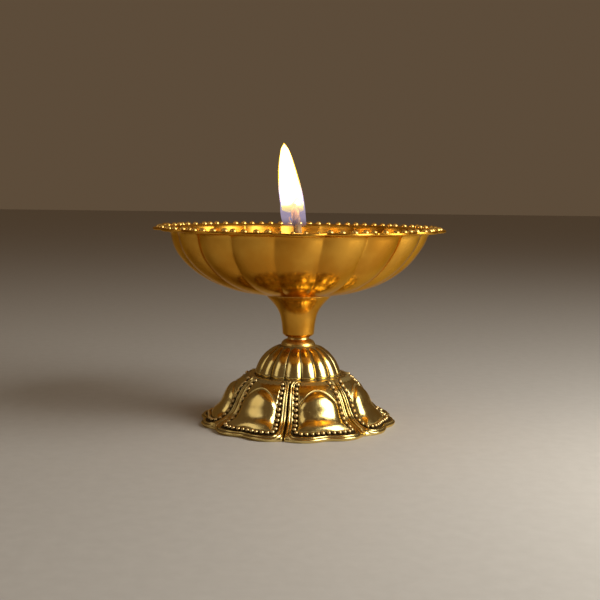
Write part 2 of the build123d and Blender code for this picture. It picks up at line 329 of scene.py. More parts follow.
def outward_normals(rings, away):
    """Return unit normals of rings of points, on the side that the away directions face."""
    along = np.gradient(rings, axis=0)
    across = np.roll(rings, -1, 1) - np.roll(rings, 1, 1)
    normal = np.cross(along, across)
    normal = normal / np.maximum(np.linalg.norm(normal, axis=-1, keepdims=True), 1e-12)
    return normal * np.sign((normal * away).sum(-1, keepdims=True))


def lengths_along(points):
    """Return how far along a polyline each of its points lies."""
    return np.concatenate([[0], np.cumsum(np.linalg.norm(np.diff(points, axis=0), axis=1))])


def cubic(place, values, fine):
    """Interpolate values at fine places by a cubic through uneven places."""
    slope = np.gradient(values, place)
    index = np.clip(np.searchsorted(place, fine) - 1, 0, len(place) - 2)
    span = place[index + 1] - place[index]
    t = (fine - place[index]) / span
    h00, h10 = 2 * t**3 - 3 * t**2 + 1, t**3 - 2 * t**2 + t
    h01, h11 = -2 * t**3 + 3 * t**2, t**3 - t**2
    start, end = values[index], values[index + 1]
    return h00 * start + h10 * span * slope[index] + h01 * end + h11 * span * slope[index + 1]


def resample(points, count):
    """Return even points on a smooth curve through a polyline's corners, and how far along each is."""
    points = np.asarray(points, float)
    place = lengths_along(points)
    fine = np.linspace(0, place[-1], count)
    return np.stack([cubic(place, points[:, i], fine) for i in range(points.shape[1])], -1), fine


# A hand-made surface wanders by a sum of waves, divided by its usual height
WAVES = 14
WAVES_HEIGHT = 3.7
LAST_PHASE = 6.28


def waver(angle, place, size, seed):
    """Return a smooth wandering of a hand-made surface, by angle round and place along it."""
    draw = np.random.default_rng(seed)
    total = 0
    for _ in range(WAVES):
        turns = draw.integers(1, 11)
        run = draw.uniform(60, 420)
        wave_round = np.sin(turns * angle + draw.uniform(0, LAST_PHASE))
        wave_along = np.sin(run * place + draw.uniform(0, LAST_PHASE))
        total = total + wave_round * wave_along
    return total * size / WAVES_HEIGHT


# Bowl: lobes round it, a slanting wall that flattens below, and a scalloped lip that droops in each lobe
LOBES = 18
WALL_RADIUS = 35.3 * MM
WALL_DEPTH = 17.75 * MM
WALL_THICK = 0.9 * MM
WALL_SLANT, WALL_FLAT = 1.6, 2.8
WALL_SHIFT = 0.55 * MM
WALL_ROWS = 90
LIP_RADIUS = 40.0 * MM
LIP_THICK = 0.8 * MM
LIP_SCALLOP = 1.5 * MM
LOBE_DEPTH = 1.45 * MM
LOBE_FADE = (7 * MM, 20 * MM)
CREASE_SOFT = 0.03
LIP_RISE = 0.16 * MM
LIP_DROOP = 0.08 * MM
FRONT_DROOP = 3.0

# The lip's section over its edge: the share of the way from the wall to the edge, and millimetres up
LIP_SECTION = (
    (0.03, -0.50), (0.09, -0.20), (0.18, -0.05), (0.35, 0.0), (0.55, 0.02), (0.75, 0.02), (0.90, 0.03),
    (0.965, 0.06), (0.99, 0.14), (1.0, 0.32), (1.0, 0.48), (0.985, 0.67), (0.955, 0.77), (0.90, 0.80),
    (0.75, 0.79), (0.55, 0.76), (0.35, 0.74), (0.18, 0.72), (0.02, 0.66), (-0.10, 0.50), (-0.17, 0.26),
)

# Bead row on the lip, whose beads in front are worn down
BEADS = 79
BEAD_RADIUS = 0.93 * MM
BEAD_INSET = 1.75 * MM
BEAD_SUNK = 0.05 * MM
BEAD_REACH = 0.62
BEAD_WEAR = 0.38
BEAD_WORN_TO = (0.12, 0.19)


def lobe_place(angle):
    """Return how far each angle is from its lobe's middle, from -1 to 1, and the lobe's number."""
    turn = angle / FULL_TURN * LOBES
    number = np.round(turn)
    return 2 * (turn - number), number.astype(int) % LOBES


def lobe_drop(place):
    """Return how far back the outline stands from the lobe's tip: 0 at its middle, 1 at the crease."""
    soft = np.sqrt((1 - np.abs(place)) ** 2 + CREASE_SOFT**2)
    return (1 - soft) ** 2


def lip_wave(angle, reach):
    """Return the lip's rise or droop at an angle, for a reach of 0 at the wall to 1 at the edge."""
    place, number = lobe_place(angle)
    draw = np.random.default_rng(7).uniform(0.6, 1.1, LOBES)
    draw[0] = FRONT_DROOP
    droop = LIP_RISE - LIP_DROOP * draw[number] * (1 - place**2)
    return droop * smooth(0, 1, np.asarray(reach)) * np.abs(reach)


def wall_row(angle, drop_share, inset):
    """Return a ring of the bowl's wall at a share of its depth, moved inwards by an inset."""
    place, _ = lobe_place(angle)
    radius = (WALL_RADIUS - inset) * (1 - drop_share**WALL_SLANT) ** (1 / WALL_FLAT)
    depth = LOBE_DEPTH * smooth(*LOBE_FADE, radius) * (0.35 + 0.65 * radius / WALL_RADIUS)
    wander = waver(angle, radius, size=0.05 * MM, seed=3) * smooth(0, 12 * MM, radius)
    dents = waver(2 * angle, 3 * radius, size=0.16 * MM, seed=9) * (1 - smooth(11 * MM, 16 * MM, radius))
    reach = radius - depth * lobe_drop(place) + wander + dents
    row = around(reach, angle, LIP_LOW - (WALL_DEPTH - inset) * drop_share)
    row[:, 0] -= WALL_SHIFT * smooth(0.0, 0.4, drop_share) * smooth(8 * MM, 20 * MM, radius)
    return row


def lip_row(angle, share, height):
    """Return a ring of the lip at a share of the way from the wall to its edge, and a height."""
    place, _ = lobe_place(angle)
    drop = lobe_drop(place)
    base = WALL_RADIUS - LOBE_DEPTH * drop
    tip = LIP_RADIUS - LIP_SCALLOP * drop
    radius = base + share * (tip - base)
    wave = lip_wave(angle, max(share, 0.0))
    wander = waver(angle, radius, size=0.05 * MM, seed=5)
    return around(radius, angle, LIP_LOW + height + wave + wander)


def bowl_rings(angle):
    """Return the rings of the bowl, from the middle of its underside over the lip to its floor."""
    last = math.pi / 2 - 0.008
    rows = [wall_row(angle, math.sin(tilt), 0.0) for tilt in np.linspace(last, 0.06, WALL_ROWS)]
    rows += [lip_row(angle, share, height * MM) for share, height in LIP_SECTION]
    rows += [wall_row(angle, math.sin(tilt), WALL_THICK) for tilt in np.linspace(0.03, last, WALL_ROWS)]
    return np.stack(rows)


def make_bowl(material):
    """Make the fluted bowl with its lip, and mark its inside."""
    rings = bowl_rings(circle(LOBES * 48))
    inside = smooth(0.48, 0.53, np.linspace(0, 1, len(rings)))
    inside = np.repeat(inside[:, None], rings.shape[1], 1)
    made = shell("bowl_shell", rings, "cup", "polished_brass", material, inside=inside)
    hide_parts("bowl")


def ball(segments, rings):
    """Return the points and faces of a unit ball."""
    points = [(0, 0, -1)]
    for ring in range(1, rings):
        tilt = -math.pi / 2 + math.pi * ring / rings
        reach, height = math.cos(tilt), math.sin(tilt)
        for segment in range(segments):
            turn = FULL_TURN * segment / segments
            points.append((reach * math.cos(turn), reach * math.sin(turn), height))
    points.append((0, 0, 1))
    faces = []
    for segment in range(segments):
        after = (segment + 1) % segments
        faces.append((0, 1 + after, 1 + segment))
        for ring in range(rings - 2):
            low, high = 1 + ring * segments, 1 + (ring + 1) * segments
            faces.append((low + segment, low + after, high + after, high + segment))
        top = 1 + (rings - 2) * segments
        faces.append((top + segment, top + after, len(points) - 1))
    return np.array(points), faces


def upright_bead():
    """Return the points and faces of a unit bead: a dome on a straight root."""
    points, faces = ball(24, 14)
    low = points[:, 2] < -0.05
    reach = np.maximum(np.hypot(points[:, 0], points[:, 1]), 0.02)
    widen = (1.0 + 0.15 * points[:, 2] ** 2) / reach * (reach > 0.1)
    points[low, :2] *= widen[low, None]
    points[:, 2] *= np.where(low, 0.45, 0.84)
    return points, faces


def join_beads(name, shapes, faces, body, slot, material, **values):
    """Make one piece of many beads, whose points are all joined by the same faces."""
    joined = []
    for index, shape in enumerate(shapes):
        joined += [tuple(corner + index * len(shape) for corner in face) for face in faces]
    make_object(name, np.concatenate(shapes), joined, body, slot, material, **values)


def outline_places(inset, count):
    """Return angles and radii spaced evenly along the lip's lobed outline, an inset within it."""
    angle = np.linspace(0, FULL_TURN, 7201)
    place, _ = lobe_place(angle)
    reach = LIP_RADIUS - inset - LIP_SCALLOP * lobe_drop(place)
    run = lengths_along(around(reach, angle, 0.0))
    marks = run[-1] * (np.arange(count) + 0.5) / count
    return np.interp(marks, run, angle), np.interp(marks, run, reach)


def make_lip_beads(material):
    """Make the bead row on the lip, a little uneven as hand-punched beads are."""
    angle, radius = outline_places(BEAD_INSET, BEADS)
    draw = np.random.default_rng(11)
    angle = angle + draw.normal(0, 0.0022, BEADS)
    worn = 1 - smooth(*BEAD_WORN_TO, np.abs(half_turn(angle)))
    sizes = BEAD_RADIUS * (1 + draw.normal(0, 0.03, BEADS)) * (1 - BEAD_WEAR * worn)
    z = LIP_LOW + LIP_THICK - BEAD_SUNK + lip_wave(angle, BEAD_REACH) + draw.normal(0, 0.03, BEADS) * MM
    bead, faces = upright_bead()
    shapes = [bead * size + centre for size, centre in zip(sizes, around(radius, angle, z))]
    join_beads("lip_beads", shapes, faces, "cup", "polished_brass", material)


# Foot: its profile from the edge up, in petals that turn from the front by some degrees
PETALS = 7
PETAL_TURN = -8.0
PROFILE = np.array([
    (27.0, 0.25), (26.98, 0.6), (26.8, 1.0), (26.3, 1.35), (25.6, 1.6), (24.9, 1.85), (24.2, 2.15),
    (22.75, 2.8), (21.35, 3.7), (20.3, 4.9), (19.6, 6.2), (19.0, 7.6), (18.2, 9.1), (17.35, 10.45),
    (16.3, 11.6), (15.1, 12.6), (13.95, 13.35),
]) * MM
PROFILE_TOP = float(lengths_along(PROFILE)[-1])
FOOT_ROWS = 200
FOOT_COLUMNS = 132

# How strongly the columns of points crowd towards the petals' borders
COLUMN_PULL = 0.7

# The petals' plan: each has a double bracket along its bottom edge, and rounds outwards above
BRACKET_DEEP = 1.25 * MM
BRACKET_FADE = (0.4 * MM, 5.5 * MM)
ROUND_SIDES = 1.45 * MM
ROUND_MIDDLE = 0.40 * MM
ROUND_FADE = (0.8 * MM, 5 * MM)

# How far inside the petal's border each run from its bottom edge counts
EDGE_RUNS = np.array([0.0, 1.5, 3.0, 3.8]) * MM
EDGE_BORDERS = np.array([0.15, 1.65, 2.4, 3.05]) * MM

# The border's corners, at the petal's foot and at its head, which runs on under the dome
FOOT_CORNER = 3.2 * MM
HEAD_CORNER = 4.6 * MM
HEAD_OVER = 2.24 * MM

# Relief inwards from the border: the groove, two rims as (place, half width, height), the dark gap
# between them, and the beads' channel, with the (start, end) of each side
GROOVE_DEEP, GROOVE_WIDE = 0.70 * MM, 0.28 * MM
RIMS = ((0.58 * MM, 0.38 * MM, 0.32 * MM), (1.34 * MM, 0.30 * MM, 0.24 * MM))
RIM_GAP, RIM_GAP_WIDE = 0.98 * MM, 0.12 * MM
CHANNEL_DEEP = 0.26 * MM
CHANNEL = ((1.6 * MM, 1.9 * MM), (2.85 * MM, 3.2 * MM))
CHANNEL_DARK = ((1.62 * MM, 1.80 * MM), (2.85 * MM, 3.1 * MM))

# The panel within the border, under an arched head
PANEL_EDGE = 3.05 * MM
PANEL_BULGE = 1.05 * MM
PANEL_SLOPE = 3.4 * MM
ARCH_DOWN = 3.1 * MM
ARCH_HALF = 5.1 * MM
ARCH_DROP = 3.4 * MM
ARCH_BLEND = 0.9 * MM

# Beads in the channel
BEAD_LINE = 2.38 * MM
BEAD_CORNER = 1.5 * MM
FOOT_BEAD_STEP = 1.52 * MM
FOOT_BEAD_RADIUS = 0.55 * MM
FOOT_BEAD_OUT = 0.04 * MM
FOOT_BEAD_FLAT = 0.05

# The foot's hollow underside from its edge up, its hole, and the rebate that the dome stands in
HOLLOW_EDGE = 24.4 * MM
UNDERSIDE = np.array([
    (22.9, 0.7), (21.2, 1.55), (19.7, 2.6), (18.0, 4.5), (17.1, 6.3), (16.5, 7.7), (15.8, 8.9),
    (14.4, 10.6), (12.9, 11.2), (11.2, 11.3),
]) * MM
HOLE_RADIUS = 10.8 * MM
REBATE_RADIUS = 12.03 * MM


def petal_angle(petal, share):
    """Return the angle round the foot at a share across a petal."""
    return math.radians(PETAL_TURN) + (petal + share) * FULL_TURN / PETALS


def petal_grid():
    """Return the angle and the petal share of each column of points on the foot's outer face."""
    step = np.arange(FOOT_COLUMNS) / FOOT_COLUMNS
    step = step - COLUMN_PULL * np.sin(FULL_TURN * step) / FULL_TURN
    share = np.tile(step, PETALS)
    return petal_angle(np.repeat(np.arange(PETALS), FOOT_COLUMNS), share), share


def petal_plan(share, run, radius):
    """Return the plan radius of a petal at a share across it: bracketed at the edge, convex above."""
    bracket = BRACKET_DEEP * ((1 + np.cos(2 * FULL_TURN * (share - 0.5))) / 2) ** 1.4
    bracket = bracket * (1 - smooth(*BRACKET_FADE, run))
    convex = (ROUND_SIDES * (2 * share - 1) ** 2 - ROUND_MIDDLE) * smooth(*ROUND_FADE, run)
    return radius - bracket - convex * (1 - 0.6 * smooth(0.85 * PROFILE_TOP, PROFILE_TOP, run))


def petal_width(radius):
    """Return a petal's width at a radius, in the scale of its borders, which narrow upwards."""
    return FULL_TURN * radius / PETALS / np.clip(radius / (20 * MM), 0.72, 1.08)


def petal_sides(share, run, radius):
    """Return the distance from the nearest groove, and a rounded distance from the petal's border."""
    side = np.minimum(share, 1 - share) * petal_width(radius)
    edge = np.interp(run, EDGE_RUNS, EDGE_BORDERS) + np.clip(run - EDGE_RUNS[-1], 0, None)
    gap_side = np.clip(FOOT_CORNER - side, 0, None)
    gap_edge = np.clip(FOOT_CORNER - edge, 0, None)
    rounded = FOOT_CORNER - np.hypot(gap_side, gap_edge)
    inside = np.minimum(side, edge)
    near = (side < FOOT_CORNER) | (edge < FOOT_CORNER)
    border = np.where(near, np.minimum(rounded, inside), inside)
    gap_side = np.clip(HEAD_CORNER - side, 0, None)
    gap_head = np.clip(HEAD_CORNER - (PROFILE_TOP + HEAD_OVER - run), 0, None)
    head = HEAD_CORNER - np.hypot(gap_side, gap_head)
    head = head + 3 * MM * smooth(0.72 * HEAD_CORNER, HEAD_CORNER, side)
    return side, np.minimum(border, head)


def panel_depth(share, run, radius, border):
    """Return how far within a petal's panel each point lies."""
    middle = np.abs(share - 0.5) * petal_width(radius)
    arch = PROFILE_TOP - ARCH_DOWN - ARCH_DROP * (middle / ARCH_HALF) ** 2
    from_arch = (arch - run) * 0.95
    from_side = border - PANEL_EDGE
    blend = np.clip(ARCH_BLEND - np.abs(from_arch - from_side), 0, None) / ARCH_BLEND
    return np.minimum(from_arch, from_side) - blend**2 * 0.22 * MM


def ridge(distance, centre, width, height):
    """Return a rounded ridge along a line at a distance from the border."""
    return height * np.clip(1 - ((distance - centre) / width) ** 2, 0, None) ** 0.8


def petal_relief(share, run, radius):
    """Return the relief on the petals' plain face, and how dark each point is painted: patina in its
    grooves and channels, and painted shade at its top next to the dome.
    """
    side, border = petal_sides(share, run, radius)
    inside = panel_depth(share, run, radius, border)
    groove = -GROOVE_DEEP * bell(side, GROOVE_WIDE)
    rims = sum(ridge(border, *rim) for rim in RIMS)
    channel = -CHANNEL_DEEP * band(*CHANNEL, border)
    panel = PANEL_BULGE * (1 - (1 - np.clip(inside / PANEL_SLOPE, 0, 1)) ** 2.4)
    line = ridge(inside, -0.35 * MM, 0.22 * MM, 0.16 * MM)
    line = line * smooth(PROFILE_TOP - 8.5 * MM, PROFILE_TOP - 6.5 * MM, run)

    recess = deepest(
        0.78 * bell(side, 0.24 * MM),
        1.2 * band(*CHANNEL_DARK, border),
        0.95 * bell(border - RIM_GAP, RIM_GAP_WIDE),
        0.55 * bell(inside, 0.40 * MM),
        # Painted shade: the petals' tops darken next to the dome, where they meet it.
        0.50 * smooth(PROFILE_TOP - 2.4 * MM, PROFILE_TOP - 0.8 * MM, run),
    )
    return groove + rims + channel + panel + line, recess


def foot_face(angle, share):
    """Return the foot's outer face, from its edge up, and its values of patina and painted shade."""
    profile, run = resample(PROFILE, FOOT_ROWS)
    run, radius, z = run[:, None], profile[:, 0:1], profile[:, 1:2]
    plan = petal_plan(share, run, radius) + waver(angle, run, size=0.035 * MM, seed=21)
    plain = around(plan, angle, z)
    relief, recess = petal_relief(share, run, radius)
    face = plain + outward_normals(plain, around(1.0, angle, 0.2)) * relief[..., None]
    face[..., 2] = np.clip(face[..., 2], 0.25 * MM, None)
    return face, recess


def foot_rings():
    """Return the foot's closed rings, over its outside and its underside, and values of patina and painted
    shade.
    """
    angle, share = petal_grid()
    face, recess = foot_face(angle[None, :], share[None, :])
    edge = np.hypot(face[0, :, 0], face[0, :, 1])
    hollow = np.minimum(edge - 0.9 * MM, HOLLOW_EDGE)
    rings = [
        (edge - 0.04 * MM, 0.10 * MM, 0.0), (edge - 0.15 * MM, 0.0, 0.0),
        (hollow, 0.0, 0.4), (hollow - 0.2 * MM, 0.12 * MM, 0.5),
    ]
    rings += [(radius, z, 0.55) for radius, z in resample(UNDERSIDE, 46)[0]]
    rings += [
        (HOLE_RADIUS, 11.4 * MM, 0.6), (HOLE_RADIUS, SEAT, 0.6),
        (REBATE_RADIUS, SEAT, 0.6), (REBATE_RADIUS, FOOT_HEIGHT - 0.12 * MM, 0.6),
        (REBATE_RADIUS + 0.09 * MM, FOOT_HEIGHT - 0.03 * MM, 0.4),
        (12.6 * MM, FOOT_HEIGHT, 0.35), (13.3 * MM, FOOT_HEIGHT, 0.35),
    ]
    rows = [face[::-1]] + [around(radius, angle, z)[None] for radius, z, _ in rings]
    values = [recess[::-1]] + [np.full((1, len(angle)), value) for _, _, value in rings]
    return np.concatenate(rows), np.concatenate(values)


def make_foot(material):
    """Make the petalled foot."""
    rings, recess = foot_rings()
    made = shell("foot_petals", rings[::-1], "base", "antiqued_brass", material, True, recess=recess[::-1])
    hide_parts("petal_skirt")


def profile_point(run):
    """Return the radius and height of the foot's plain profile at a run along it."""
    points, length = resample(PROFILE, 400)
    return np.interp(run, length, points[:, 0]), np.interp(run, length, points[:, 1])


def bead_path():
    """Return (share, run) places of one petal's beads: down one side, along the bottom, up the other."""
    bend = HEAD_CORNER - BEAD_LINE
    top = PROFILE_TOP + HEAD_OVER - HEAD_CORNER
    low = float(np.interp(BEAD_LINE, EDGE_BORDERS, EDGE_RUNS))
    steps = []
    for turn in np.linspace(1.1, 0, 60):
        steps.append((BEAD_LINE + bend * (1 - math.cos(turn)), top + bend * math.sin(turn)))
    for run in np.linspace(top, low + BEAD_CORNER, 400):
        steps.append((BEAD_LINE, run))
    for turn in np.linspace(0, math.pi / 2, 60):
        side = BEAD_LINE + BEAD_CORNER * (1 - math.cos(turn))
        steps.append((side, low + BEAD_CORNER * (1 - math.sin(turn))))
    half = [(side / petal_width(profile_point(run)[0]), run) for side, run in steps]
    bottom = [(share, low) for share in np.linspace(half[-1][0], 0.5, 200)[1:]]
    left = half + bottom
    return left + [(1 - share, run) for share, run in left[-2::-1]]


def make_foot_beads(material):
    """Make the bead rows inside the petals' borders, dark at their roots."""
    share, run = np.array(bead_path()).T
    radius, z = profile_point(run)
    plan = petal_plan(share, run, radius)
    length = lengths_along(around(plan, share * FULL_TURN / PETALS, z))
    count = round(length[-1] / FOOT_BEAD_STEP)
    marks = length[-1] * (np.arange(count) + 0.5) / count
    share, run = np.interp(marks, length, share), np.interp(marks, length, run)
    radius, z = profile_point(run)
    plan = petal_plan(share, run, radius)
    radius_up, z_up = profile_point(run + 0.1 * MM)
    slope = np.arctan2(z_up - z, radius - radius_up)

    draw = np.random.default_rng(31)
    centres, ups = [], []
    for petal in range(PETALS):
        angle = petal_angle(petal, share) + draw.normal(0, 0.002, count)
        up = around(np.sin(slope), angle, np.cos(slope))
        centres.append(around(plan, angle, z) + up * FOOT_BEAD_OUT)
        ups.append(up)
    centres, ups = np.concatenate(centres), np.concatenate(ups)
    sizes = FOOT_BEAD_RADIUS * (1 + draw.normal(0, 0.05, len(centres)))

    unit, faces = ball(14, 8)
    shapes, recess = [], []
    for centre, up, size in zip(centres, ups, sizes):
        axis = up / np.linalg.norm(up)
        shape = unit * size
        shapes.append(shape - np.outer(shape @ axis, axis) * FOOT_BEAD_FLAT + centre)
        recess.append(0.75 - 1.1 * np.clip(unit @ axis, -0.2, 1))
    join_beads("foot_beads", shapes, faces, "base", "antiqued_brass", material, recess=recess)


# Dome: broad flutes that rise out of a smooth cap in round heads and end in round feet
FLUTES = 16
FLUTE_COLUMNS = 48
FLUTE_DEEP = 0.80 * MM
CAP_SUNK = 0.42 * MM
DOME_TURN = -6.75
DOME_PROFILE = np.array([
    (12.0, 13.4), (11.95, 14.1), (11.7, 14.85), (11.3, 15.85), (10.8, 16.85), (10.25, 17.75), (9.65, 18.5),
    (8.95, 19.25), (8.2, 19.85), (7.3, 20.5), (6.4, 21.0), (5.6, 21.35),
]) * MM
DOME_INSIDE = ((5.6, 19.95), (7.2, 18.5), (8.5, 17.1), (9.6, 15.5), (10.2, 14.1), (10.4, 13.1))
DOME_FOOT_RADIUS = 12.0 * MM
BUSH_HOLE_RADIUS = 3.02 * MM


def dome_face(angle, across):
    """Return the dome's outer face and its values of patina and painted shade; across is 0 in a flute's
    middle, 1 at its side.
    """
    profile, run = resample(DOME_PROFILE, 120)
    radius, z, run = profile[:, 0:1], profile[:, 1:2], run[:, None]
    length = run[-1, 0]
    fall = (1 - np.sqrt(1 - (across * 0.84) ** 2)) / 0.46
    deep = FLUTE_DEEP * np.clip(radius / DOME_FOOT_RADIUS, 0.45, 1)
    head = smooth(-0.15 * MM, 0.75 * MM, length - 0.1 * MM - 1.3 * MM * across**2 - run) ** 0.6
    foot = smooth(0, 0.9 * MM, run) ** 0.5
    reach = radius - CAP_SUNK - (deep * fall - CAP_SUNK) * head
    reach = reach - (1 - foot) * 0.15 * MM
    reach = reach + waver(angle, run, size=0.03 * MM, seed=41)
    recess = deepest(
        0.95 * smooth(0.84, 0.99, across) * (0.4 + 0.6 * head),
        # Painted shade: the dome darkens along its foot, where it meets the petals.
        0.55 * (1 - smooth(0.05 * MM, 0.4 * MM, run)),
        0.6 * (1 - head) * smooth(0.5 * length, 0.8 * length, run),
    )
    return around(reach, angle, z), recess


def make_dome(material):
    """Make the fluted dome."""
    count = FLUTES * FLUTE_COLUMNS
    across = np.abs(2 * ((np.arange(count) / FLUTE_COLUMNS) % 1.0) - 1)[None, :]
    angle = (np.arange(count) / count + 0.5 / FLUTES)[None, :] * FULL_TURN + math.radians(DOME_TURN)
    face, recess = dome_face(angle, across)
    rings = [(4.4 * MM, DOME_TOP, 0.3)]
    rings += [(BUSH_HOLE_RADIUS, DOME_TOP, 0.3), (BUSH_HOLE_RADIUS, DOME_TOP - 1.4 * MM, 0.3)]
    rings += [(radius * MM, z * MM, 0.6) for radius, z in DOME_INSIDE]
    rings.append((DOME_INSIDE[-1][0] * MM, SEAT, 0.6))
    rings += [(DOME_FOOT_RADIUS, SEAT, 0.6), (DOME_FOOT_RADIUS, FOOT_HEIGHT - 0.1 * MM, 1.0)]
    rows = np.concatenate([face] + [around(radius, angle, z) for radius, z, _ in rings])
    values = np.concatenate([recess] + [np.full((1, count), value) for _, _, value in rings])
    made = shell("dome_flutes", rows, "base", "antiqued_brass", material, True, recess=values)
    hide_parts("fluted_dome")


# Stem: a trumpet, as shares of its height and of the way from its foot's radius to its top's
STEM_SHAPE = np.array([
    (0, 0), (0.10, 0.015), (0.34, 0.08), (0.50, 0.16), (0.65, 0.32), (0.81, 0.61), (0.93, 0.88), (1, 1),
])
STEM_TOP_RADIUS = 9.2 * MM
STEM_FOOT_RADIUS = 4.3 * MM
STEM_EDGE_HEIGHT = 0.54 * MM
SOCKET_RADIUS = 2.02 * MM

# Braze under the bowl, in millimetres: its section's middle and size, how much its lumps add, and
# how often they come round
BRAZE_RADIUS, BRAZE_DOWN = 8.95, 0.06
BRAZE_WIDE, BRAZE_WIDE_LUMP = 0.36, 0.16
BRAZE_HIGH, BRAZE_HIGH_LUMP = 0.20, 0.07
BRAZE_WAVES = (2, 3, 5, 7, 11, 16, 23)

# Collar, in millimetres: a quarter round under a narrow neck, and its bore
COLLAR_EDGE = 4.7
COLLAR_ROUND, COLLAR_MIDDLE, COLLAR_SUNK = 1.84, 2.96, 0.14
NECK_RADIUS, NECK_TOP = 3.0, 2.6
COLLAR_BORE = 2.1

# Screw thread
THREAD_PITCH = 1.0 * MM
THREAD_CREST = 1.99 * MM
THREAD_ROOT = 1.55 * MM


def make_stem(material):
    """Make the trumpet stem with its sharp lower edge and the socket for the stud."""
    low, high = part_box("stem")
    reach = STEM_FOOT_RADIUS + STEM_SHAPE[:, 1] * (STEM_TOP_RADIUS - STEM_FOOT_RADIUS)
    line, _ = resample(np.stack([reach, low.z + STEM_SHAPE[:, 0] * (high.z - low.z)], -1), 80)
    angle = circle(160)
    rows = []
    for radius, z in line[line[:, 1] > low.z + STEM_EDGE_HEIGHT + 0.08 * MM]:
        wander = waver(angle, z, size=0.03 * MM, seed=51) * smooth(low.z, low.z + 1.5 * MM, z)
        rows.append(around(radius + wander, angle, z))
    inner = (
        (2.6 * MM, high.z), (SOCKET_RADIUS, high.z - 3 * MM),
        (SOCKET_RADIUS, low.z + 0.2 * MM), (2.3 * MM, low.z),
        (STEM_FOOT_RADIUS - 0.6 * MM, low.z), (STEM_FOOT_RADIUS - 0.04 * MM, low.z + STEM_EDGE_HEIGHT),
    )
    rows += [around(radius, angle, z) for radius, z in inner]
    made = shell("stem_trumpet", np.stack(rows), "cup", "polished_brass", material, True)
    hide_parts("stem")


def make_stem_braze(material):
    """Make the uneven fillet of braze between the stem and the bowl."""
    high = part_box("stem")[1].z
    angle = circle(240)
    draw = np.random.default_rng(61)
    lump = 0
    for waves in BRAZE_WAVES:
        lump = lump + np.sin(waves * angle + draw.uniform(0, LAST_PHASE)) * draw.uniform(0.3, 1) / 3
    rows = []
    for turn in circle(16):
        radius = BRAZE_RADIUS + (BRAZE_WIDE + BRAZE_WIDE_LUMP * lump) * np.cos(turn)
        rise = -BRAZE_DOWN + (BRAZE_HIGH + BRAZE_HIGH_LUMP * lump) * np.sin(turn)
        rows.append(around(radius * MM, angle, high + rise * MM))
    made = shell("stem_braze", np.stack(rows), "cup", "braze", material, True)
    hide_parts("stem_braze_ring")


def make_collar(material):
    """Make the loose collar and the narrow neck on it."""
    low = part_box("neck_collar")[0]
    outline = [(COLLAR_BORE, 0), (COLLAR_EDGE, 0)]
    for turn in np.linspace(0.1, 1.5, 14):
        reach = COLLAR_MIDDLE + COLLAR_ROUND * math.cos(turn)
        outline.append((reach, COLLAR_ROUND * math.sin(turn) - COLLAR_SUNK))
    outline += [(NECK_RADIUS, 1.85), (NECK_RADIUS, NECK_TOP - 0.1), (NECK_RADIUS - 0.1, NECK_TOP)]
    outline.append((COLLAR_BORE, NECK_TOP))
    angle = circle(128)
    rows = [around(radius * MM, angle, low.z + z * MM) for radius, z in outline]
    made = shell("collar_ring", np.stack(rows), "collar", "turned_brass", material, True)
    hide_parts("neck_collar")


def make_stud(material):
    """Make the stud with its screw thread, cut within the plain stud's radius."""
    low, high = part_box("threaded_stud")
    angle = circle(48)
    rows = [around(0.9 * MM, angle, low.z), around(1.35 * MM, angle, low.z + 0.12 * MM)]
    for z in np.linspace(low.z + 0.35 * MM, high.z - 0.2 * MM, 200):
        phase = ((z - low.z) / THREAD_PITCH - angle / FULL_TURN) % 1.0
        tooth = np.clip(1.35 - 2.7 * np.abs(phase - 0.5), 0.12, 1.0)
        limit = min(1.0, (z - low.z) / (0.8 * MM))
        rows.append(around(THREAD_ROOT + (THREAD_CREST - THREAD_ROOT) * tooth * limit, angle, z))
    rows.append(around(1.5 * MM, angle, high.z))
    made = shell("stud_thread", np.stack(rows), "cup", "turned_brass", material)
    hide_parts("threaded_stud")


# Oil: how many millimetres it creeps up, at shares of the way from the bowl's wall to the wick's well
WELL_RADIUS = 5.25 * MM
MENISCUS = (
    (0.012, 0.10), (0.03, 0.03), (0.06, 0.0), (0.25, 0.0), (0.5, 0.0), (0.75, 0.0), (0.93, 0.0),
    (0.98, 0.03), (1.0, 0.2),
)


def make_oil(material):
    """Make the oil, with a meniscus at the wall and round the wick's foot."""
    angle = circle(LOBES * 24)
    inset = WALL_THICK + 0.05 * MM
    depth = WALL_DEPTH - inset
    floor = LIP_LOW - depth + 0.35 * MM
    well = around(WELL_RADIUS, angle, 0.0)
    up = np.array([0, 0, 1])
    rows = [well + floor * up]
    for z in np.linspace(floor, OIL_TOP + 0.25 * MM, 40):
        rows.append(wall_row(angle, (LIP_LOW - z) / depth, inset))
    edge = wall_row(angle, (LIP_LOW - OIL_TOP) / depth, inset)
    edge[:, 2] = 0.0
    for share, rise in MENISCUS:
        rows.append(edge + (well - edge) * share + (OIL_TOP + rise * MM) * up)
    made = shell("oil_fill", np.stack(rows), "cup", "lamp_oil", material, True)
    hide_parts("oil")


# Wick, its foot and the flame
WICK_LOW, WICK_HIGH = (corner.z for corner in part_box("wick"))
WICK_RADIUS = 1.2 * MM
WICK_LEAN = 1.6 * MM
WICK_TWISTS = 3.2
FOOT_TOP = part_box("wick_base")[1].z
FIBRES = 90
FIBRE_WIDTHS = (0.028, 0.028, 0.05)

# A loose strand that curls up on the left, in millimetres from the wick's axis and its top
CURL = (
    (-0.9, -0.7, -5.6), (-1.45, -0.95, -4.9), (-1.85, -1.05, -4.3), (-1.75, -1.05, -3.8),
    (-1.35, -1.0, -3.75), (-1.1, -0.95, -4.1),
)
CURL_WIDTH = 0.18 * MM

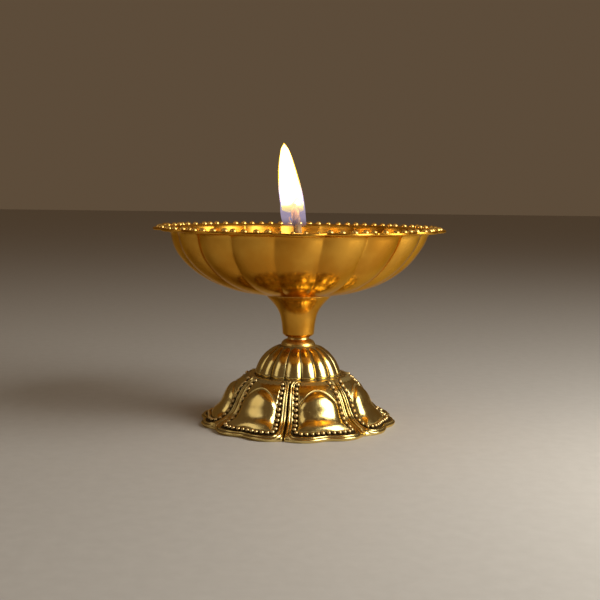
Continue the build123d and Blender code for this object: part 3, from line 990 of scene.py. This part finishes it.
# The wick's foot, a puff of cotton: shares of its radius and its height
PUFF_SHAPE = np.array([
    (0.02, 0.0), (0.80, 0.0), (0.93, 0.05), (0.985, 0.16), (1.0, 0.35), (0.985, 0.55), (0.94, 0.70),
    (0.82, 0.78), (0.66, 0.84), (0.45, 0.895), (0.30, 0.94), (0.255, 1.0),
])
PUFF_RADIUS = 5 * MM
PUFF_LIMIT = 5.05 * MM


def wick_axis(z):
    """Return how far left the wick's middle lies at a height."""
    share = np.clip((np.asarray(z) - FOOT_TOP) / (WICK_HIGH - FOOT_TOP), 0, 1)
    return -WICK_LEAN * share


def charred(z):
    """Return how burnt the wick is at a height: 0 at the lip, 1 at its top."""
    return float(np.clip((z - LIP_LOW) / (WICK_HIGH - LIP_LOW), 0, 1))


def make_wick(material):
    """Make the wick: three twisted strands, drawn together and burnt at the top."""
    angle = circle(72)
    rows, chars = [], []
    for z in np.linspace(WICK_LOW + 0.1 * MM, WICK_HIGH - 0.1 * MM, 150):
        turn = (z - WICK_LOW) / (WICK_HIGH - WICK_LOW) * FULL_TURN * WICK_TWISTS
        taper = 1 - 0.5 * smooth(WICK_HIGH - 2.8 * MM, WICK_HIGH, z)
        strand = 0.80 + 0.20 * np.abs(np.cos(1.5 * (angle - turn)))
        radius = WICK_RADIUS * 0.98 * taper * strand + waver(angle, z, size=0.04 * MM, seed=71)
        row = around(radius, angle, z)
        row[:, 0] += wick_axis(z)
        rows.append(row)
        chars.append(np.full(len(angle), charred(z)))
    made = shell("wick_strands", np.stack(rows), "wick", "cotton", material, char=chars)
    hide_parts("wick")


def loose_fibres():
    """Return the stray fibres and the curled strand, each with its points, width and share of char."""
    draw = np.random.default_rng(73)
    fibres = []
    for _ in range(FIBRES):
        z = draw.uniform(FOOT_TOP - 1 * MM, WICK_HIGH - 0.8 * MM)
        turn, out = draw.uniform(0, FULL_TURN), draw.uniform(0.25, 0.7) * MM
        start = around(WICK_RADIUS * 0.8, turn, z) + np.array([wick_axis(z), 0, 0])
        away = around(1.0, turn, draw.uniform(-0.4, 1.6))
        bend = np.array([draw.normal(), draw.normal(), draw.normal()]) * 0.25 * MM
        line = [start + away * out * t + bend * t * t for t in np.linspace(0, 1, 5)]
        fibres.append((line, draw.choice(FIBRE_WIDTHS) * MM, 0.8))
    curl, _ = resample(np.array(CURL) * MM, 24)
    fibres.append((curl + np.array([wick_axis(WICK_HIGH - 4 * MM), 0, WICK_HIGH]), CURL_WIDTH, 1.6))
    return fibres


def make_wick_fibres(material):
    """Make the stray fibres and the curled strand as square tubes that narrow to their ends."""
    points, faces, chars = [], [], []
    for line, width, burnt in loose_fibres():
        faces += [[corner + len(points) for corner in face] for face in ring_faces(len(line), 4, False)]
        for index, spot in enumerate(line):
            thin = width * (1 - 0.6 * index / (len(line) - 1))
            for side in circle(4):
                points.append(spot + np.array([math.cos(side), math.sin(side), 0]) * thin)
                chars.append(charred(spot[2]) * burnt)
    make_object("wick_fibres", points, faces, "wick", "cotton", material, char=chars)


def make_wick_foot(material):
    """Make the cotton foot of the wick: a gathered puff with folds that wind up into the wick."""
    low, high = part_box("wick_base")
    height = high.z - low.z
    shape = np.stack([PUFF_SHAPE[:, 0] * PUFF_RADIUS, low.z + PUFF_SHAPE[:, 1] * height], -1)
    line, _ = resample(shape, 90)
    angle = circle(180)
    rows = []
    for radius, z in line:
        share = (z - low.z) / height
        folds = np.abs(np.sin(5.5 * (angle - 2.4 * share))) ** 0.7
        crease = 0.10 * (1 - folds) * smooth(0.05, 0.4, share)
        wander = waver(angle, z * 2, size=0.05 * MM, seed=81) * min(1, radius / (2 * MM))
        rows.append(around(np.minimum(radius * (1 - crease) + wander, PUFF_LIMIT), angle, z))
    made = shell("wick_puff", np.stack(rows), "wick", "cotton", material)
    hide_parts("wick_base")


# Flame: its width and lean at shares of its height, then how wide its envelope and its core are within
# that, and where each starts and ends
FLAME_LOW, FLAME_HIGH = (corner.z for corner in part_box("flame"))
FLAME_RADIUS = 3.5 * MM
FLAME_LEAN = 3.9 * MM
FLAME_SHAPE = np.array([
    (0.00, 0.86, 0.10), (0.07, 0.95, 0.22), (0.16, 1.00, 0.31), (0.28, 0.97, 0.37), (0.45, 0.92, 0.53),
    (0.69, 0.71, 0.76), (0.86, 0.45, 0.89), (0.95, 0.24, 0.96), (1.00, 0.03, 1.00),
])
ENVELOPE = (0.98, 0.0, 1.0)
CORE = (0.86, 0.18, 0.985)

# The side on which the wick shows through the flame's core, and how much higher the core begins there
WICK_TURN, WICK_SPREAD, WICK_SHADE = 0.6, 0.55, 0.10


def flame_rings(swell, start, end):
    """Return the rings and heights of a flame shape, drawn in by swell, between two height shares."""
    shares = np.linspace(start, end, 90)
    width = cubic(FLAME_SHAPE[:, 0], FLAME_SHAPE[:, 1], shares)
    lean = cubic(FLAME_SHAPE[:, 0], FLAME_SHAPE[:, 2], shares)
    ends = np.sqrt(np.clip((shares - start) / (0.04 * (end - start)), 0.01, 1))
    tips = np.sqrt(np.clip((end - shares) / (0.06 * (end - start)), 0.002, 1)) if end < 1 else 1
    angle = circle(64)
    rows = []
    for share, size, shift in zip(shares, width * swell * ends * tips, lean):
        z = FLAME_LOW + share * (FLAME_HIGH - FLAME_LOW)
        row = around(max(size, 0.02) * FLAME_RADIUS, angle, z)
        row[:, 0] += wick_axis(FLAME_LOW) - FLAME_LEAN * shift
        rows.append(row)
    heights = np.repeat(shares[:, None], len(angle), 1)
    return np.stack(rows), heights


def make_flame(outer_material, core_material):
    """Make the flame: a clear blue-footed envelope with a bright core inside."""
    rings, heights = flame_rings(*ENVELOPE)
    envelope = shell("flame_envelope", rings, "wick", "flame", outer_material, height=heights)
    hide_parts("flame")
    rings, heights = flame_rings(*CORE)
    wick_side = bell(half_turn(circle(heights.shape[1]) - WICK_TURN), WICK_SPREAD)
    heights = heights - WICK_SHADE * wick_side * (heights < 0.6)
    shell("flame_core", rings, "wick", "flame", core_material, height=heights)


def dress_node(name, material):
    """Give a carried-over CAD node a material in all its slots."""
    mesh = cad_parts[name].data
    if not mesh.materials:
        mesh.materials.append(material)
    for index in range(len(mesh.materials)):
        mesh.materials[index] = material


# Studio: floor, surround, and light panels with their place, target, size, power and colour
LAMP_MIDDLE = (0, 0, 35 * MM)
FLOOR_SIZE = 6
FLOOR_TONES = ((0.52, 0.50, 0.48), (0.60, 0.58, 0.56))
SURROUND_TONE = (0.72, 0.48, 0.28, 1)
SURROUND_STRENGTH = 0.15
PANELS = (
    ("window_left", (-0.36, -0.14, 0.30), LAMP_MIDDLE, (0.26, 0.28), 0.18, (1.0, 0.90, 0.74)),
    ("window_right", (0.42, -0.20, 0.25), LAMP_MIDDLE, (0.32, 0.44), 2.2, (1.0, 0.98, 0.90)),
    ("overhead", (0.08, 0.05, 0.60), LAMP_MIDDLE, (0.5, 0.5), 0.20, (1.0, 0.86, 0.66)),
    ("table_right", (0.15, -0.08, 0.12), (0.14, -0.08, 0.0), (0.10, 0.10), 0.18, (1.0, 0.96, 0.86)),
)


def make_camera():
    """Place the camera as the photograph's stands."""
    data = bpy.data.cameras.new("camera")
    data.sensor_width = SENSOR
    data.lens = CAMERA_LENS
    data.clip_start, data.clip_end = 0.01, 20
    camera = bpy.data.objects.new("camera", data)
    bpy.context.scene.collection.objects.link(camera)
    camera.location = (CAMERA_SIDE, -CAMERA_DISTANCE, CAMERA_HEIGHT)
    tilt = Euler((math.radians(90 - CAMERA_PITCH), 0, 0)).to_matrix()
    roll = Euler((0, 0, math.radians(CAMERA_ROLL))).to_matrix()
    camera.rotation_euler = (tilt @ roll).to_euler()
    bpy.context.scene.camera = camera


def make_floor():
    """Make the plain pale floor."""
    bpy.ops.mesh.primitive_plane_add(size=FLOOR_SIZE, location=(0, 0, -0.02 * MM))
    floor = bpy.context.object
    floor.name = "floor"
    material, tree, shader = slot_material("floor")
    feed(tree, shader, Base_Color=mix(tree, noise(tree, 300, 3), *FLOOR_TONES), Roughness=0.6)
    floor.data.materials.append(material)


def make_panel(name, place, target, size, power, colour):
    """Add a soft area light that faces a target."""
    data = bpy.data.lights.new(name, "AREA")
    data.energy, data.color = power, colour
    data.shape, data.size, data.size_y = "RECTANGLE", size[0], size[1]
    light = bpy.data.objects.new(name, data)
    light.location = place
    light.rotation_euler = (Vector(target) - Vector(place)).to_track_quat("-Z", "Y").to_euler()
    bpy.context.scene.collection.objects.link(light)


def make_studio():
    """Light the lamp softly, with window-like panels for the metal to reflect."""
    world = bpy.data.worlds.new("world")
    world.use_nodes = True
    background = world.node_tree.nodes["Background"]
    background.inputs["Color"].default_value = SURROUND_TONE
    background.inputs["Strength"].default_value = SURROUND_STRENGTH
    bpy.context.scene.world = world
    bpy.context.scene.view_settings.view_transform = "Standard"
    for panel in PANELS:
        make_panel(*panel)


make_camera()
make_floor()
make_studio()

# Partly painted light: the bowl's deep orange brass stands in partly for the flame's warm light on it,
# partly for its own polished colour.
polished = brass(
    "polished_brass", (0.78, 0.40, 0.052), (0.64, 0.28, 0.026), shine=0.16, dull=0.24, bump=0.05, film=0.22,
)
# Painted highlight: the lip's beads get a paler, brighter brass than the bowl, standing in for the flame's
# glints on them.
lip_bead = brass("lip_bead_brass_painted_highlight", (0.93, 0.60, 0.18), (0.84, 0.48, 0.11), shine=0.34, dull=0.46, bump=0.05)
# Partly painted light: the foot's paler, less orange brass stands in partly for cool daylight on it, partly
# for its antiqued finish.
antiqued = brass(
    "antiqued_brass", (0.84, 0.67, 0.28), (0.72, 0.54, 0.19), shine=0.17, dull=0.28, patina_shade_strength=0.98, bump=0.05,
)
foot_bead = brass(
    "foot_bead_brass", (0.80, 0.62, 0.30), (0.70, 0.49, 0.19), shine=0.28, dull=0.40, patina_shade_strength=0.95,
)
turned = brass("turned_brass", (0.80, 0.56, 0.18), (0.74, 0.48, 0.13), shine=0.28, dull=0.40, bump=0.05)
braze = brass("braze", (0.84, 0.56, 0.16), (0.74, 0.43, 0.09), shine=0.12, dull=0.34, bump=0.3)
cotton_material = cotton()

make_bowl(polished)
make_lip_beads(lip_bead)
make_foot(antiqued)
make_foot_beads(foot_bead)
make_dome(antiqued)
make_stem(polished)
make_stem_braze(braze)
make_collar(turned)
make_stud(turned)
make_oil(lamp_oil())
make_wick(cotton_material)
make_wick_fibres(cotton_material)
make_wick_foot(cotton_material)
make_flame(flame_material("flame_outer", False), flame_material("flame_core", True))
dress_node("base_bush", turned)
dress_node("dome_braze_ring", braze)
